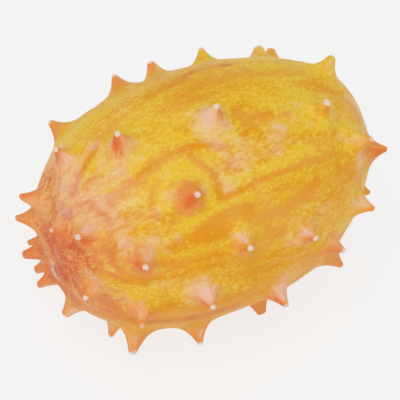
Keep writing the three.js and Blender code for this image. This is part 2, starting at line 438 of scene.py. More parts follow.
# ---------------------------------------------------------------------------------------------------
# Markings. The ripe rind is orange, stippled yellow all over except along its veins, which run from
# end to end and bend round the horns. Each horn is orange-red under its tip, pale on one side with
# bloom and a painted sheen, and ends in a dry white bead. The stalk end is the reddest part.
# ---------------------------------------------------------------------------------------------------
# Lines and spots on the rind, in order of bearing: (half width, strength, [[station, bearing], ...]).
# Orange veins, which have no stipple.
VEINS = [
    (1.6, 0.6, [[-15, 74.3], [-9, 73.5], [-1.5, 73]]),
    (3.0, 0.5, [[-8, 84.5], [-4, 83], [3, 82], [8, 83.5], [17, 82.5]]),
    (2.0, 0.5, [[19, 85.5], [26, 87], [33, 88]]),
    (1.2, 0.8, [[-47, 97.5], [-44, 93.7], [-40.8, 90.2], [-38, 87], [-34, 82.5], [-29, 82]]),
    (2.2, 0.5, [[-14, 89], [-6, 90], [2, 90]]),
    (1.2, 0.5, [[-22.8, 99], [-22.6, 103]]),
    (1.4, 0.5, [[-44, 101.5], [-41, 101.3]]),
    (1.0, 0.3, [[-12.6, 98], [-12.6, 105.5]]),
    (2.0, 0.4, [[31, 97], [36, 99], [38, 103], [41, 111]]),
    (1.5, 0.9, [[4.6, 103.4], [5.2, 108], [4.6, 111], [3, 115]]),
    (1.5, 0.9, [[5, 110], [8.5, 109.3], [14, 110.2]]),
    (1.6, 0.5, [[-46.8, 109], [-45, 112]]),
    (1.6, 0.8, [[-20, 112], [-14, 112.4]]),
    (1.6, 0.8, [[6, 111.8], [5, 113]]),
    (1.4, 0.6, [[17.4, 111.8], [19, 113]]),
    (1.9, 1.0, [[-40, 118.5], [-34, 116.6], [-30.5, 116.5], [-26, 113], [-20, 112]]),
    (1.5, 0.9, [[-14, 112.4], [-10, 113.4], [-6.5, 116.5], [-3.5, 119]]),
    (2.2, 0.6, [[44, 112], [46.5, 120], [47.5, 128]]),
    (1.4, 0.25, [[6, 119.5], [13, 124], [17, 122.5]]),
    (2.0, 0.35, [[-8, 123], [-4.5, 125.5]]),
    (1.1, 1.0, [[-15, 115.5], [-12.8, 122], [-11.2, 127], [-10.8, 132], [-11.5, 138]]),
    (1.6, 0.6, [[-23.4, 126], [-17, 128]]),
    (0.9, 0.7, [[-26.5, 121], [-29, 124], [-30.3, 128], [-31, 133], [-29, 139]]),
    (1.5, 0.5, [[22, 127], [25, 130.3], [29, 130.8], [33, 129.5]]),
    (1.4, 0.8, [[-44.5, 116], [-43.3, 121], [-42.1, 126], [-42.3, 131], [-43, 138.5], [-45.5, 144]]),
    (2.4, 0.5, [[-38.5, 130], [-35, 132], [-38, 137]]),
    (1.6, 0.5, [[-17.5, 135]]),
    (1.6, 0.5, [[-41.5, 137]]),
    (0.9, 0.8, [[-12, 139], [-5, 138], [0, 136.6], [7, 136.8], [14, 137.2], [20, 136.7], [24, 138.8]]),
    (2.0, 0.7, [[-28, 142.5], [-25, 138], [-23, 135.5]]),
    (1.4, 0.6, [[-17, 141.5], [-21, 139]]),
    (1.8, 0.6, [[-32, 143], [-34, 140]]),
    (0.9, 0.5, [[24, 138.8], [30, 139.8], [33, 142], [36, 147]]),
    (1.9, 1.0, [[-21, 150], [-16, 147.2], [-12, 145.3], [-7.5, 145.3], [-4, 146]]),
    (1.2, 0.9, [[9, 152], [13, 152], [17, 150.8], [20.5, 146.5]]),
    (1.4, 0.7, [[-30, 152.5], [-25, 150.5], [-21, 150]]),
    (2.4, 0.6, [[-4, 151], [-3, 153]]),
    (1.2, 0.6, [[-19, 153], [-13.5, 153.5], [-10.5, 150.5]]),
    (1.2, 0.9, [[0, 152.5], [4, 153], [7, 154.5]]),
    (1.0, 0.7, [[-42.6, 140.5], [-44.2, 147], [-44.8, 153], [-43, 160], [-39, 164.5], [-33.5, 165]]),
    (0.8, 0.6, [[-47.5, 142], [-48, 150], [-47, 158], [-43, 165.5], [-37, 169]]),
    (1.8, 0.4, [[30, 148.5], [33.5, 152], [36, 156.5], [38, 162], [38.5, 166]]),
    (1.8, 0.8, [[-33, 157], [-30, 160]]),
    (1.6, 0.8, [[45.5, 153], [47.5, 159], [48, 166]]),
    (1.5, 0.6, [[0, 160], [5, 163]]),
    (0.8, 0.6, [[-31.5, 162.5], [-25, 161.3], [-18, 161.8], [-13, 163.5]]),
    (0.8, 0.5, [[-30, 167.5], [-22, 165.8], [-15, 167]]),
    (2.6, 0.6, [[-10, 166], [-6, 168]]),
    (2.0, 0.6, [[-7, 178.5], [0, 179], [6, 178]]),
    (2.6, 0.6, [[9, 179], [13, 181]]),
    (3.0, 0.6, [[-1, 188], [4, 189]]),
    (3.0, 0.7, [[14, 187], [19, 190]]),
    (3.0, 0.7, [[-37, 189], [-32, 190]]),
    (2.4, 0.7, [[-18, 191], [-10, 193], [-3, 193.5]]),
    (1.8, 0.8, [[-48, 183], [-44, 196], [-38, 196.5], [-33, 197]]),
    (3.2, 0.9, [[-26, 196], [-20, 194]]),
    (1.2, 0.9, [[-45, 195], [-30, 199], [-18, 200], [-6, 199]]),
    (3.4, 0.6, [[12, 200], [24, 200], [36, 196]]),
    (1.2, 0.8, [[-48, 200], [-40, 200.5], [-34, 203], [-24, 204]]),
    (2.2, 0.8, [[-30, 203], [-25, 202.5], [-20, 206]]),
    (1.4, 0.9, [[-43, 205], [-28, 208], [-12, 208], [2, 206]]),
    (1.8, 0.9, [[-36, 214], [-20, 216], [-5, 214], [10, 210]]),
]
# Where the stipple is thickest and the rind most yellow.
GOLDS = [
    (4.0, 0.8, [[12, 45], [18, 43]]),
    (4.0, 0.9, [[-38, 47], [-36, 57]]),
    (4.5, 0.9, [[22, 58], [29, 63]]),
    (2.6, 0.7, [[21, 76], [27, 77]]),
    (2.4, 0.6, [[-12, 80], [-7, 79]]),
    (3.4, 0.6, [[41, 79], [44, 87]]),
    (2.4, 0.6, [[12, 86], [20, 90]]),
    (3.0, 0.7, [[26, 90], [31, 93]]),
    (2.4, 0.7, [[20, 90.5], [24, 93]]),
    (2.0, 0.5, [[-32, 92], [-26, 93], [-22, 92]]),
    (2.8, 0.6, [[1, 93], [9, 93], [14, 95]]),
    (1.6, 0.6, [[-20, 95], [-14, 94]]),
    (1.6, 0.7, [[-44, 99.5], [-41, 96.5], [-38.5, 93.5]]),
    (2.6, 0.7, [[-12, 97], [-10, 99]]),
    (2.4, 0.6, [[12, 102], [17, 106.5]]),
    (3.2, 0.9, [[24, 105], [28, 103.5]]),
    (2.6, 0.9, [[-26, 107], [-23, 104.5], [-21, 101.5]]),
    (2.6, 0.8, [[-17, 107], [-13, 107.5]]),
    (1.6, 0.8, [[-31, 109.5], [-27.5, 107.5]]),
    (2.2, 0.6, [[-25, 109], [-22, 108]]),
    (1.8, 0.8, [[-25, 110.5], [-20, 109.5]]),
    (1.7, 0.9, [[-7, 111.5], [-3, 115], [1.5, 114], [3, 110.5]]),
    (1.2, 0.7, [[-39, 113.5], [-34, 112.5]]),
    (2.2, 0.7, [[-27, 111.5], [-31, 114.5]]),
    (4.0, 1.1, [[24, 119], [26, 114]]),
    (1.8, 0.7, [[-13, 116], [-9, 118]]),
    (1.3, 0.9, [[-29, 118.7], [-24, 116.7], [-20, 116.5], [-17, 117.5]]),
    (1.5, 1.0, [[-10, 120.5], [-5.5, 120.3], [-1.5, 119.5]]),
    (2.8, 1.1, [[24, 121], [22, 121]]),
    (1.4, 0.7, [[-37, 121.7], [-33, 121.2]]),
    (1.7, 0.8, [[-27, 123], [-24, 121.5], [-20, 121]]),
    (2.6, 0.9, [[26, 125], [32, 125]]),
    (2.4, 0.6, [[-38, 126], [-33, 124.5]]),
    (2.2, 0.8, [[-44.5, 126], [-43.5, 128]]),
    (1.6, 0.8, [[-15.5, 122], [-13.8, 127], [-14, 134]]),
    (2.4, 0.8, [[29, 127], [31, 129]]),
    (1.6, 0.8, [[-44, 123], [-44.7, 137]]),
    (1.9, 0.9, [[12, 133.3], [17, 131], [22, 133.5]]),
    (1.9, 0.9, [[-8.5, 131], [-5, 133], [0, 133], [6, 133.5], [12, 133.3]]),
    (1.6, 0.8, [[-44.5, 130], [-43.8, 136]]),
    (1.6, 0.7, [[-28, 128], [-28, 134], [-25, 138]]),
    (1.8, 0.7, [[0, 134.3], [6, 134.5]]),
    (2.6, 1.0, [[36, 133], [41, 136]]),
    (1.8, 1.0, [[-4, 136], [-2, 135]]),
    (1.8, 0.7, [[-34, 141], [-36, 133]]),
    (2.4, 0.8, [[38, 138], [40, 136]]),
    (2.4, 0.8, [[32, 138], [37, 139]]),
    (1.6, 0.7, [[2, 139.3], [10, 139.5], [18, 139]]),
    (1.6, 0.7, [[-5, 139.7], [-2.5, 144]]),
    (1.8, 0.9, [[32, 138], [32.5, 146]]),
    (1.9, 0.9, [[-20, 142.5], [-15, 142.8], [-10, 141.5], [-4, 141.5]]),
    (1.6, 0.8, [[34, 142], [36, 147]]),
    (2.6, 0.5, [[-30, 144], [-24, 146]]),
    (2.4, 0.7, [[28, 145], [19, 145]]),
    (2.0, 0.5, [[-28, 146.7], [-22, 146]]),
    (1.9, 0.9, [[-10, 151.5], [-6.5, 152.3], [-4, 155]]),
    (1.4, 0.8, [[-33.5, 150], [-32.2, 156.5]]),
    (2.2, 0.8, [[-9.3, 155], [-6, 155]]),
    (2.0, 0.6, [[11, 154], [15, 158]]),
    (2.4, 0.8, [[-42.5, 174.5], [-37, 175]]),
    (2.2, 0.7, [[-31, 179], [-28, 178]]),
    (2.0, 0.8, [[-38, 181], [-35, 182]]),
]
# Where the pale waxy film and the sheen painted into it are thickest.
WAX_AND_SHEEN_SPOTS = [
    (3.4, 0.7, [[-45, 74], [-44, 52]]),
    (0.8, 0.9, [[17, 77]]),
    (2.0, 0.8, [[-37, 85]]),
    (6, 0.9, [[-45, 89]]),
    (3.4, 0.7, [[-38, 96]]),
    (2.0, 0.7, [[-8.6, 98]]),
    (2.6, 0.8, [[-31, 101]]),
    (3.0, 0.6, [[-31, 101]]),
    (3.0, 0.7, [[-28.5, 101]]),
    (6, 0.6, [[-46, 105], [-43, 103]]),
    (4.6, 0.9, [[-5, 104]]),
    (6, 0.7, [[-33, 107]]),
    (0.8, 0.9, [[23, 107.5]]),
    (2.6, 0.8, [[-1, 110]]),
    (1.4, 0.4, [[-17, 111], [-13.6, 113]]),
    (3.6, 0.7, [[-8, 106], [-5, 114], [-1, 118]]),
    (2.8, 0.9, [[-33, 114.5]]),
    (1.4, 0.7, [[20, 113], [21, 116]]),
    (3.0, 1.0, [[-7, 113], [-6, 115.5], [-5, 119]]),
    (2.2, 0.55, [[25.2, 121.5], [28.5, 117], [24, 110]]),
    (1.3, 0.9, [[13.5, 116.5], [15.5, 118.5]]),
    (6, 0.8, [[-37, 118]]),
    (3.4, 0.9, [[-39.5, 118.5]]),
    (3.6, 0.8, [[-44, 120], [-40, 118]]),
    (4, 0.5, [[-47, 120]]),
    (5, 0.4, [[-27, 114], [-30, 126]]),
    (2.2, 0.5, [[11, 121], [14, 121]]),
    (1.8, 0.5, [[-10, 122]]),
    (0.9, 0.9, [[-2.3, 122.8]]),
    (3.0, 0.8, [[-44, 123]]),
    (4, 0.6, [[-5, 122], [-2.4, 126]]),
    (2.4, 0.6, [[10.7, 128]]),
    (3.0, 1.0, [[-42.8, 129]]),
    (2.0, 0.8, [[-40, 130]]),
    (3.4, 0.6, [[-25, 130]]),
    (0.9, 0.9, [[0, 130.5]]),
    (3.4, 0.7, [[-36, 132]]),
    (5, 0.6, [[50, 125], [52, 140]]),
    (2.4, 0.7, [[-15, 133]]),
    (3.6, 0.8, [[-10, 131], [-8, 136]]),
    (1.8, 0.7, [[-30, 134]]),
    (2.2, 0.6, [[35, 135], [38.5, 139]]),
    (2.4, 0.4, [[1, 137.5]]),
    (3.0, 0.8, [[-40, 144]]),
    (3.4, 0.8, [[-34, 146]]),
    (1.6, 0.8, [[41, 142.5], [45, 146.5], [49, 151]]),
    (1.8, 0.7, [[-26.4, 149]]),
    (2.5, 0.5, [[-31, 152]]),
    (3.5, 0.6, [[40, 152]]),
    (0.9, 0.8, [[15, 156]]),
    (1.2, 0.5, [[-49.5, 164], [-48.5, 172]]),
    (3.0, 0.6, [[7, 169]]),
    (2.0, 0.9, [[-21.5, 172]]),
    (3, 0.6, [[33, 172]]),
    (3.0, 0.9, [[-24, 177]]),
    (3.0, 0.8, [[-41.5, 183], [-43.4, 179]]),
    (3.0, 0.6, [[22, 182]]),
    (3.0, 0.9, [[4, 193]]),
    (2.4, 1.2, [[-56.6, 262], [-56.2, 282]]),
]
# Rich orange places with little film and few pale flecks.
RICHES = [
    (4, 1.3, [[-34, 46]]),
    (6, 0.8, [[-33, 41], [-30, 55]]),
    (4, 1.2, [[-19, 55]]),
    (3, 0.8, [[-42, 76]]),
    (6, 1.2, [[26, 80]]),
    (4, 1.2, [[18, 83]]),
    (9, 1.0, [[-4, 80], [15, 87]]),
    (5, 1.2, [[6, 86]]),
    (6, 0.7, [[24, 90], [33, 95]]),
    (3, 0.6, [[-41, 94]]),
    (4, 0.7, [[8, 101]]),
    (3, 0.6, [[-15, 103]]),
    (3, 0.6, [[-31, 109]]),
    (3, 0.6, [[5.4, 112]]),
    (3, 0.3, [[25, 116]]),
    (3, 0.6, [[-28.5, 122]]),
    (4, 0.7, [[29, 124]]),
    (3, 1.2, [[-14, 146]]),
    (5, 1.1, [[15, 146], [33, 146]]),
    (3.4, 1.2, [[-4, 147]]),
    (4, 1.1, [[8, 147]]),
    (6, 0.9, [[-15, 142], [-18, 153], [-22, 163]]),
    (4, 1.2, [[-13, 156]]),
    (3, 0.8, [[31, 168]]),
    (6, 0.7, [[-2, 160], [-4, 180]]),
    (5, 0.5, [[4, 170]]),
    (5, 0.8, [[-49, 168], [-47, 176], [-38, 185]]),
]
# Where the stalk end is reddest.
REDS = [
    (5.0, 0.6, [[-52, 20], [-50, 52], [-48, 68]]),
    (2.8, 0.6, [[-51, 78], [-52, 92], [-55, 99]]),
    (5.0, 1.1, [[-56.4, 75], [-56.8, 110]]),
    (2.4, 0.6, [[-51, 98], [-50, 108]]),
    (3.0, 0.7, [[-52, 100], [-50.5, 109]]),
    (1.1, 0.9, [[-51.2, 115], [-51.8, 124]]),
    (3.0, 1.2, [[-55.4, 118], [-55.4, 135]]),
    (2.6, 1.3, [[-54.6, 124], [-52.8, 129], [-50.5, 138]]),
    (4.6, 1.0, [[-53, 124], [-54.8, 132], [-55, 146]]),
    (5.0, 1.3, [[-55.6, 108], [-56.4, 150], [-56, 190]]),
    (1.6, 0.6, [[-49, 142], [-48.5, 158]]),
    (3.2, 0.8, [[-52, 142], [-52, 150], [-53, 160]]),
    (2.0, 0.9, [[-50, 148], [-49.5, 154]]),
    (3.4, 0.9, [[-41.5, 152], [-40, 157]]),
    (4.4, 1.0, [[-53.4, 150], [-54, 162], [-53.6, 172]]),
    (1.6, 0.5, [[-46.4, 183], [-48.2, 172]]),
    (3.0, 0.6, [[-44, 178], [-43, 182]]),
    (3.2, 0.9, [[-54, 172], [-53, 184], [-51.5, 190]]),
    (3.4, 0.4, [[-49.5, 184], [-47, 192], [-45, 206]]),
    (7.0, 0.8, [[-54, 230], [-53, 290], [-54, 340]]),
]
# Pale pink threads at the stalk end.
PINKS = [
    (2.4, 0.6, [[-48.5, 85], [-47.5, 94]]),
    (2.2, 0.9, [[-50.8, 98], [-50.2, 106]]),
    (1.6, 0.8, [[-53.5, 108], [-52.5, 110]]),
    (1.8, 0.7, [[-46, 126.5], [-45.4, 128]]),
    (2.2, 1.2, [[-56.4, 146], [-56.2, 136]]),
    (1.2, 0.8, [[-50.8, 158], [-49, 163]]),
    (2.0, 0.6, [[-48.5, 166], [-47, 172]]),
    (1.2, 0.7, [[-53.6, 171], [-52.4, 178]]),
]
# Flanks and hollows where the stipple is thin and the orange shows.
SHADES = [
    (8, 0.7, [[-18, 52], [0, 52], [14, 60]]),
    (6, 0.3, [[-4, 75], [8, 82]]),
    (6, 0.8, [[-14, 155], [-6, 152]]),
    (9, 1.0, [[2, 152], [16, 150], [30, 152], [44, 160]]),
    (8, 0.9, [[-4, 168], [10, 162], [24, 162]]),
    (7, 0.7, [[-40, 172], [-28, 172], [-16, 172]]),
]
# Long darker brown streaks along the grain, one high on the back and one low on the front.
DARK_STREAKS = [
    (1.6, 1.2, [[-2.3, 69.5], [3, 66.5], [9, 66], [14, 69]]),
    (3.0, 1.0, [[-40, 200], [-30, 203], [-20, 204], [-8, 202]]),
]
# Horns with colours of their own: [station, bearing, pale side, pale, flush, red side, red, bead]. Sides
# are degrees round the horn, 0 to the blossom end and 90 to more bearing. The pale side is bloom with a
# sheen painted on it.
COLOURED_HORNS = [
    [-55, 23, -90, 0.5, 1.0, 0, 0.4, 0.3],
    [-53, 59, 100, 0.5, 0.9, 10, 0.6, 0.3],
    [-53, 113, -45, 0.5, 1.3, 135, 1.2, 0.5],
    [-52, 317, -90, 0.6, 1.0, 90, 0.4, 0.2],
    [-51, 291, -90, 0.6, 1.0, 90, 0.5, 0.3],
    [-50, 175, -45, 0.5, 1.3, 180, 1.0, 1.0],
    [-50, 304, -90, 0.6, 1.0, 90, 0.6, 0.3],
    [-48, 131, -40, 0.8, 1.3, 80, 1.2, 1.0],
    [-48, 266, -90, 0.8, 0.8, 90, 0.5, 0.3],
    [-48, 323, -90, 0.5, 1.1, 90, 0.6, 0.3],
    [-44, 74, 95, 0.9, 0.8, 150, 0.8, 0.8],
    [-39, 190, -95, 0.55, 1.3, 180, 0.4, 0.45],
    [-37, 154, -50, 0.7, 2.0, 170, 1.3, 1.0],
    [-35, 28, 45, 0.3, 1.0, 180, 0.4, 0.9],
    [-31, 98, -130, 0.7, 1.0, 175, 1.1, 1.0],
    [-21, 182, -95, 1.3, 1.0, 150, 1.0, 1.0],
    [-20, 133, 180, 0.0, 1.5, 150, 1.3, 1.0],
    [-15, 41, 0, 0.8, 0.9, 100, 0.3, 0.9],
    [-8, 160, -110, 0.8, 0.4, 180, 0.7, 1.0],
    [-4, 104, 170, 1.05, 0.4, 15, 0.9, 1.0],
    [-1, 35, 10, 0.8, 0.8, 180, 0.4, 1.0],
    [3, 198, -80, 1.0, 1.1, 170, 0.9, 0.7],
    [7, 239, 0, 0.1, 1.4, 90, 0.6, 0.2],
    [13, 169, -130, 0.9, 0.6, 180, 0.7, 0.9],
    [15, 39, 90, 0.1, 0.3, 180, 0.0, 0.9],
    [22, 185, 150, 0.3, 0.8, 175, 0.7, 1.0],
    [29, 215, -115, 0.3, 1.1, 90, 0.4, 0.3],
    [31, 118, -30, 0.7, 0.2, 100, 0.6, 1.4],
    [34, 36, 180, 0.3, 0.2, 180, 0.0, 0.9],
    [37, 180, -90, 0.8, 0.8, 90, 0.4, 0.2],
    [39, 26, 180, 0.3, 0.5, 180, 0.3, 0.2],
    [40, 141, 180, 0.3, 0.2, 120, 0.0, 0.6],
    [44, 86, 120, 0.6, 0.0, 0, 0.0, 0.2],
    [48, 160, 60, 0.2, 1.2, 180, 0.7, 0.15],
    [49, 230, -90, 0.3, 0.3, 90, 0.1, 0.1],
]
# Usual strengths of a horn's pale side (bloom with a painted sheen), flush, red and bead.
USUAL_PALE = 0.5
USUAL_FLUSH = 1.1
USUAL_RED = 0.3
USUAL_BEAD = 1.0
# The marks of a horn: offsets, sizes and reaches in millimetres from its axis, widths in radians.
RAGGED_WAVES = (2, 3, 5)
RAGGEDNESS = 0.07
FLUSH_OFFSET = 0.7
FLUSH_SIZE = 4.0
BLUSH_WIDTH = 1.3
BLUSH_REACH = (1.2, 4.4)
# The pale side of a horn, bloom with a painted sheen: its width round the horn and its reach.
BLOOM_SHEEN_WIDTH = 1.2
BLOOM_SHEEN_REACH = (2.4, 6.5)
BARE_TIP = (0.8, 1.6)
BEAD_DEPTH = (1.15, 0.5)
RING_INSIDE = (3.0, 5.5)
RING_OUTSIDE = (9.5, 7.0)
SPOKE_CIRCLE = 2.2
SPOKE_STRETCH = 0.25
SPOKE_GAP = 9
# The radii over which the grain's bend round a horn fades, and the grain's length in millimetres for
# each radian of the turn.
FOOT_BEND = 5.5
PARTING_REACH = 14
END_REACH = 50
LINE_SOFTNESS = 1.4
# Where the stalk end's warmth starts and is full, and the bearings that the underside and the back
# face away from, with the cosines between which each of them fades in.
WARMTH_STATIONS = (-36, -57)
UNDERSIDE_OPPOSITE = math.radians(100)
UNDERSIDE_FADE = (0.3, -0.3)
BACK_OPPOSITE = math.radians(115)
BACK_FADE = (0.05, -0.3)
SCAR_STAIN_RADIUS = 0.6 * SCAR_RADIUS


def distance_to_line(points, line):
    """Distance to the nearest of a line's straight pieces, or to its one place on the rind."""
    places = rind_point(np.arccos(-line[:, 0] / HALF_LENGTH), np.radians(line[:, 1]))
    nearest = np.linalg.norm(points - places[0], axis=1)
    for start, stop in zip(places[:-1], places[1:]):
        reach = stop - start
        share = np.clip((points - start) @ reach / (reach @ reach), 0, 1)
        nearest = np.minimum(nearest, np.linalg.norm(points - start - share[:, None] * reach, axis=1))
    return nearest


def line_strength(points, lines):
    """For each point the strongest line: its strength, falling with distance as a bell curve."""
    strongest = np.zeros(len(points))
    for half_width, strength, line in lines:
        near = distance_to_line(points, np.array(line, float)) / half_width
        strongest = np.maximum(strongest, strength * np.exp(-near**2 / LINE_SOFTNESS))
    return strongest


def smooth_step(value, low, high):
    """Rises smoothly from 0 at low to 1 at high, or falls if low is above high."""
    share = np.clip((value - low) / (high - low), 0, 1)
    return share * share * (3 - 2 * share)


def turn_and_bearing(points):
    """The turn from the stalk pole and the bearing, in radians, of points on the rind."""
    share = np.clip((points[:, 0] - FRUIT_MIDDLE[0]) / HALF_LENGTH, -1, 1)
    spoke = points - core_line(share)
    return np.arccos(-share), np.arctan2(spoke[:, 2], spoke[:, 1])


def horn_colours(horns):
    """Pale side, pale, flush, red side, red and bead of each horn. By default the top side is pale, a painted
    sheen on bloom.
    """
    top = np.arctan2(horns["round"][:, 2], horns["along"][:, 2])
    same = np.ones(len(top))
    usual = [top, USUAL_PALE * same, USUAL_FLUSH * same, top + np.pi, USUAL_RED * same, USUAL_BEAD * same]
    colours = np.stack(usual, axis=1)
    for station, bearing, bloom_sheen_side, pale, flush, red_side, red, bead in COLOURED_HORNS:
        turn = np.arccos(-np.array(station) / HALF_LENGTH)
        place = rind_point(turn, np.radians(np.array(bearing)))
        nearest = np.linalg.norm(horns["foot"] - place, axis=1).argmin()
        colours[nearest] = [math.radians(bloom_sheen_side), pale, flush, math.radians(red_side), red, bead]
    return colours


def horn_marks(points, horns):
    """Flush, blush, pale bloom with painted sheen, bead and ring of the horns, their spokes, and the grain
    parted by them.

    Where horns meet, the strongest mark counts, and the spokes are those of the closest axis. The
    grain is moved aside by a curve that falls off past a horn's foot, so that it bends round."""
    marks = {name: np.zeros(len(points)) for name in ("flush", "blush", "bloom_and_sheen", "bead", "ring")}
    spokes = np.zeros((len(points), 3))
    parted = points.copy()
    closest = np.full(len(points), np.inf)
    rng = np.random.default_rng(11)
    rows = each_horn(horns, "foot", "out", "along", "round", "length", "tip", "spread")
    for number, (row, colour) in enumerate(zip(rows, horn_colours(horns))):
        foot, out, along, across, length, tip, spread = row
        bloom_sheen_side, pale, flush, red_side, red, bead = colour
        offset = points - foot
        ahead, aside, up = offset @ along, offset @ across, offset @ out
        far_side = OUT_OF_REACH * (up < -spread)
        radius = np.hypot(ahead, aside) + far_side
        angle = np.arctan2(aside, ahead)
        starts = rng.uniform(0, 2 * np.pi, len(RAGGED_WAVES))
        ragged = 1 + RAGGEDNESS * sum(np.sin(n * angle + start) for n, start in zip(RAGGED_WAVES, starts))

        def patch(side, away, size):
            """A ragged bell curve of the distance from a place to one side of the axis."""
            apart = np.hypot(ahead - away * np.cos(side), aside - away * np.sin(side))
            return np.exp(-((apart + far_side) * ragged / size) ** 2)

        def wedge(side, width, full, gone):
            """A bell curve of the angle from one side, and a smooth fall with the radius."""
            turned = np.angle(np.exp(1j * (angle - side)))
            return np.exp(-((turned * ragged / width) ** 2)) * smooth_step(radius * ragged, gone, full)

        off_tip = smooth_step(radius * ragged, *BARE_TIP)
        below_apex = length - horn_height(radius, length, tip, spread)
        own_marks = {
            "flush": flush * patch(red_side, FLUSH_OFFSET, FLUSH_SIZE),
            "blush": red * wedge(red_side, BLUSH_WIDTH, *BLUSH_REACH),
            # The pale side: pale bloom with a sheen painted on it.
            "bloom_and_sheen": pale * wedge(bloom_sheen_side, BLOOM_SHEEN_WIDTH, *BLOOM_SHEEN_REACH) * off_tip,
            "bead": bead * smooth_step(below_apex, *BEAD_DEPTH),
            "ring": smooth_step(radius, *RING_INSIDE) * smooth_step(radius, *RING_OUTSIDE),
        }
        for name, values in own_marks.items():
            marks[name] = np.maximum(marks[name], values)
        own = radius < closest
        closest = np.where(own, radius, closest)
        spoke = [SPOKE_CIRCLE * np.cos(angle), SPOKE_CIRCLE * np.sin(angle),
                 SPOKE_STRETCH * radius + SPOKE_GAP * number]
        spokes[own] = np.stack(spoke, axis=1)[own]
        parting = aside * FOOT_BEND**2 / (radius**2 + FOOT_BEND**2)
        parting *= np.exp(-(radius / PARTING_REACH) ** 2)
        parted -= parting[:, None] * across
    return marks, spokes, parted


marks, spokes, parted = horn_marks(bare_rind, horns)
for name, lines in (("vein", VEINS), ("gold", GOLDS), ("wax_and_sheen", WAX_AND_SHEEN_SPOTS), ("rich", RICHES), ("red", REDS),
                    ("pink", PINKS), ("shade", SHADES), ("dark_streak", DARK_STREAKS)):
    marks[name] = line_strength(bare_rind, lines)
# The grain is the rind unrolled: length from pole to pole, and a circle of even size round it.
turn, bearing = turn_and_bearing(parted)
grain = np.stack([END_REACH * turn, RADIUS * np.cos(bearing), RADIUS * np.sin(bearing)], axis=1)
turn, bearing = turn_and_bearing(bare_rind)
marks["warmth"] = smooth_step(bare_rind[:, 0] - FRUIT_MIDDLE[0], *WARMTH_STATIONS)
underside = smooth_step(np.cos(bearing - UNDERSIDE_OPPOSITE), *UNDERSIDE_FADE)
marks["shade"] = np.maximum(marks["shade"], underside)
marks["back"] = smooth_step(np.cos(bearing - BACK_OPPOSITE), *BACK_FADE)
marks["cork"] = scar_rim(bare_rind)
marks["dish"] = smooth_step(distance_to_place(bare_rind, SCAR_PLACE), SCAR_RADIUS, SCAR_STAIN_RADIUS)
squares, fans = skin_faces()

skin_mesh = bpy.data.meshes.new("horned_melon_skin")
skin_mesh.vertices.add(len(skin_points))
skin_mesh.vertices.foreach_set("co", (skin_points * MM).astype(np.float32).ravel())
skin_mesh.loops.add(squares.size + fans.size)
skin_mesh.loops.foreach_set("vertex_index", np.concatenate([squares.ravel(), fans.ravel()]))
skin_mesh.polygons.add(len(squares) + len(fans))
starts = np.concatenate([4 * np.arange(len(squares)), squares.size + 3 * np.arange(len(fans))])
skin_mesh.polygons.foreach_set("loop_start", starts)
skin_mesh.update(calc_edges=True)
skin_mesh.validate()
skin_mesh.shade_smooth()
for name, values in marks.items():
    layer = skin_mesh.attributes.new(name, "FLOAT", "POINT")
    layer.data.foreach_set("value", values.astype(np.float32))
for name, vectors in (("grain", grain), ("spokes", spokes)):
    layer = skin_mesh.attributes.new(name, "FLOAT_VECTOR", "POINT")
    layer.data.foreach_set("vector", vectors.astype(np.float32).ravel())

skin = bpy.data.objects.new("horned_melon_skin", skin_mesh)
bpy.context.scene.collection.objects.link(skin)
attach(skin, "root")
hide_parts("horned_melon")


# Material of the rind. Colours are as seen on a screen, 0 to 255.
def seen(red, green, blue):
    """The linear colour of a screen colour: each share of 255 through the screen's own curve."""
    shares = [value / 255 for value in (red, green, blue)]
    return [s / 12.92 if s <= 0.04045 else ((s + 0.055) / 1.055) ** 2.4 for s in shares] + [1.0]


YELLOW = seen(240, 201, 36)
ORANGE = seen(238, 169, 70)
DEEP_ORANGE = seen(234, 155, 14)
# The next two are the waxy film's colours, with a painted sheen in them; the second also colours the horns'
# pale sides and the threads at the stalk end.
WAX_SHEEN_PINK = seen(242, 184, 164)
YELLOW_WAX = seen(242, 208, 144)
SALMON = seen(232, 134, 80)
STALK_RED = seen(209, 67, 20)
FLANK_ORANGE = seen(240, 147, 84)
TIP_RED = seen(232, 106, 44)
# Pale pink of the horns' pale sides: bloom with a painted sheen.
BLOOM_SHEEN_PINK = seen(242, 206, 186)
PALE_YELLOW = seen(246, 218, 128)
LILAC = seen(228, 170, 158)
CORK = seen(226, 206, 190)
SCAR_BROWN = seen(176, 120, 104)
# Darker brown of the long streaks along the grain.
STREAK_BROWN = seen(220, 112, 44)
BEAD_WHITE = seen(238, 222, 212)
PORE_BROWN = seen(202, 134, 66)


def shader_node(tree, kind, inputs=None, **settings):
    """A shader node of that kind, its inputs joined to sockets or set to values."""
    made = tree.nodes.new("ShaderNode" + kind)
    for name, value in settings.items():
        setattr(made, name, value)
    for key, value in (inputs or {}).items():
        if isinstance(value, bpy.types.NodeSocket):
            tree.links.new(value, made.inputs[key])
        else:
            made.inputs[key].default_value = value
    return made


